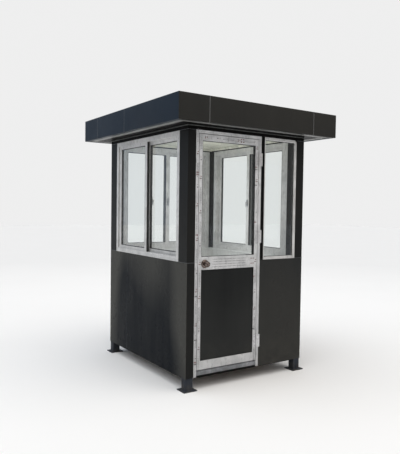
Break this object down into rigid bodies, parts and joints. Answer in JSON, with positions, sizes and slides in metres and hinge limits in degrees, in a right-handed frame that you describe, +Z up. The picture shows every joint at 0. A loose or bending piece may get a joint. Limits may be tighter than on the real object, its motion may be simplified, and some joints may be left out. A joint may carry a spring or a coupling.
{
  "type": "security guard booth",
  "caption": "Flat-roofed guard booth on four feet, with dark panels, a glazed hinged door, a fixed light and sliding windows.",
  "frame": {"origin": "on the ground, under the middle of the body and of the roof", "axes": "+Z up; the front wall with the door faces -Y; +X to the right as seen from the front"},
  "size_m": [1.73, 2.08, 2.5],
  "materials": {
    "dark_panel": "coated aluminium composite sheet, satin charcoal",
    "inner_panel": "pale coated lining sheet",
    "dark_steel": "painted square tube, worn at the feet",
    "window_alloy": "silver anodised profile under thin protective film",
    "window_glass": "clear float glass",
    "pale_board": "grooved plastic boards",
    "floor_board": "sealed board",
    "roof_metal": "ribbed galvanised sheet",
    "bronze": "dark bronze plating",
    "zinc": "zinc-plated steel"
  },
  "bodies": {
    "booth": {"corner_post_front_left": "dark_steel", "corner_post_front_right": "dark_steel", "corner_post_back_left": "dark_steel", "corner_post_back_right": "dark_steel", "floor_frame": "dark_steel", "floor_deck": "floor_board", "left_wall": "inner_panel", "right_wall": "inner_panel", "back_wall": "inner_panel", "front_wall": "inner_panel", "left_cladding": "dark_panel", "right_cladding": "dark_panel", "back_cladding": "dark_panel", "front_cladding": "dark_panel", "corner_casings": "dark_panel", "mullion": "dark_steel", "head_beam": "dark_steel", "roof_frame": "dark_steel", "roof_sheet": "roof_metal", "soffit": "pale_board", "ceiling": "pale_board", "front_fascia": "dark_panel", "back_fascia": "dark_panel", "left_fascia": "dark_panel", "right_fascia": "dark_panel", "door_frame": "window_alloy", "hinge_frame_wings": "zinc", "front_light_frame": "window_alloy", "front_light_glass": "window_glass", "left_window_frame": "window_alloy", "left_window_sashes": "window_alloy", "left_window_glass": "window_glass", "right_window_frame": "window_alloy", "right_window_sashes": "window_alloy", "right_window_glass": "window_glass", "back_window_frame": "window_alloy", "back_window_sashes": "window_alloy", "back_window_glass": "window_glass"},
    "door": {"door_leaf": "window_alloy", "door_glass": "window_glass", "door_panel": "dark_panel", "door_rosettes": "bronze", "hinge_leaf_wings": "zinc"},
    "knob": {"door_knobs": "bronze"}
  },
  "joints": [
    {"name": "door_hinge", "type": "hinge", "parent": "booth", "child": "door", "pos_m": [0.0978, -0.831, 1.328], "axis": [0, 0, 1], "range_deg": [0, 120]},
    {"name": "knob_turn", "type": "hinge", "parent": "door", "child": "knob", "pos_m": [-0.4707, -0.805, 1.098], "axis": [0, -1, 0], "range_deg": [-60, 60], "stiffness_Nm_per_rad": 0.3}
  ]
}
